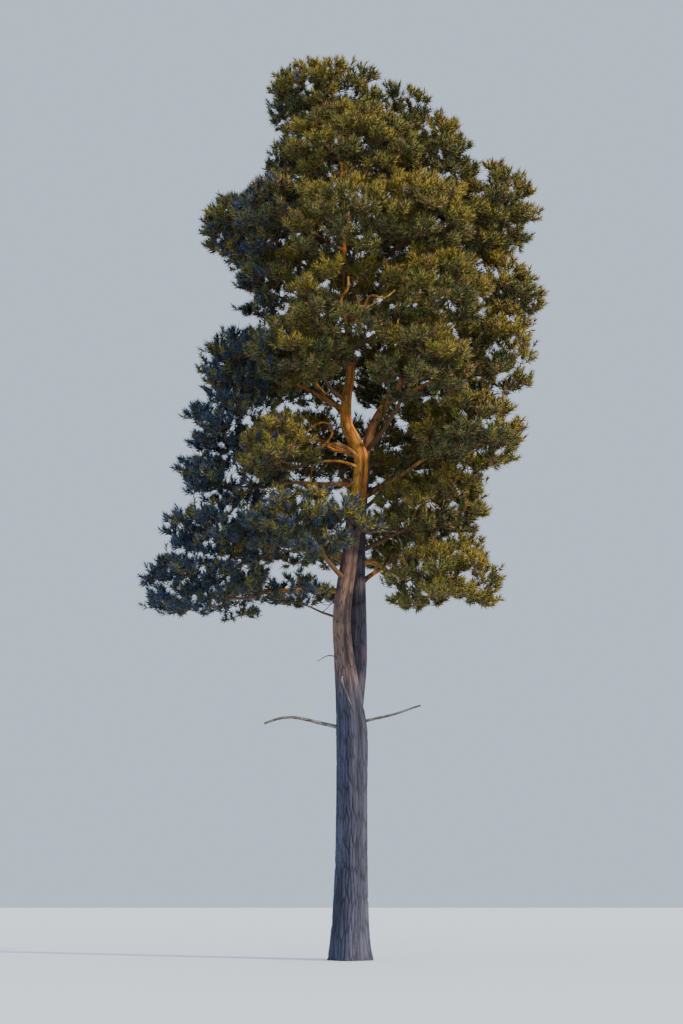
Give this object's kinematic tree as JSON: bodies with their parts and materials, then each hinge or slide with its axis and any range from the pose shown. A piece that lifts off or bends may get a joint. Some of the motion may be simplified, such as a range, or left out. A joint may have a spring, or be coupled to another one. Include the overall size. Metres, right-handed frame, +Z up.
{
  "type": "scots pine tree",
  "caption": "Tall old Scots pine, rooted in the ground: bare lower trunk, a low fork, dead limbs, side boughs and rounded masses of needles.",
  "frame": {"origin": "middle of the flat cut under the trunk, at ground level", "axes": "+Z up along the trunk, -Y towards the viewer of the picture, +X to the viewer's right"},
  "size_m": [8.3826, 6.7939, 18.8864],
  "materials": {
    "trunk_bark": "rough plated grey bark",
    "bough_bark": "thin flaking orange bark",
    "dead_wood": "weathered grey dead wood",
    "needles": "matt dark green needles"
  },
  "bodies": {
    "root": {"trunk": "trunk_bark", "second_stem": "trunk_bark", "lower_right_bough": "bough_bark", "arm_left_bough": "bough_bark", "back_left_bough": "bough_bark", "back_right_bough": "bough_bark", "shelf_left_high_bough": "bough_bark", "shelf_left_mid_bough": "bough_bark", "sunlit_left_bough": "bough_bark", "lobe_right_bough": "bough_bark", "back_mid_bough": "bough_bark", "shelf_left_low_bough": "bough_bark", "tail_left_bough": "bough_bark", "skirt_right_bough": "bough_bark", "skirt_back_left_bough": "bough_bark", "skirt_back_right_bough": "bough_bark", "dead_limb_left": "dead_wood", "dead_limb_right": "dead_wood", "dead_snag_right": "dead_wood", "crown_top": "needles", "top_left": "needles", "top_right": "needles", "top_edge_right": "needles", "top_back": "needles", "upper_left": "needles", "upper_front": "needles", "shoulder_right": "needles", "wing_left": "needles", "upper_mid_left": "needles", "mid_front": "needles", "mid_front_right": "needles", "mid_right": "needles", "mid_back_left": "needles", "mid_back_right": "needles", "waist_left": "needles", "waist_front": "needles", "waist_front_right": "needles", "waist_right": "needles", "waist_back": "needles", "lower_right": "needles", "arm_left": "needles", "inner_left": "needles", "front_right": "needles", "back_left": "needles", "back_right": "needles", "shelf_left_high": "needles", "shelf_left_mid": "needles", "sunlit_left": "needles", "lobe_right": "needles", "inner_right": "needles", "back_mid": "needles", "shelf_left_low": "needles", "shelf_front": "needles", "tail_left": "needles", "tuft_left": "needles", "shelf_right": "needles", "skirt_right": "needles", "skirt_back_left": "needles", "skirt_back_right": "needles", "back_mid_right": "needles"}
  },
  "joints": []
}
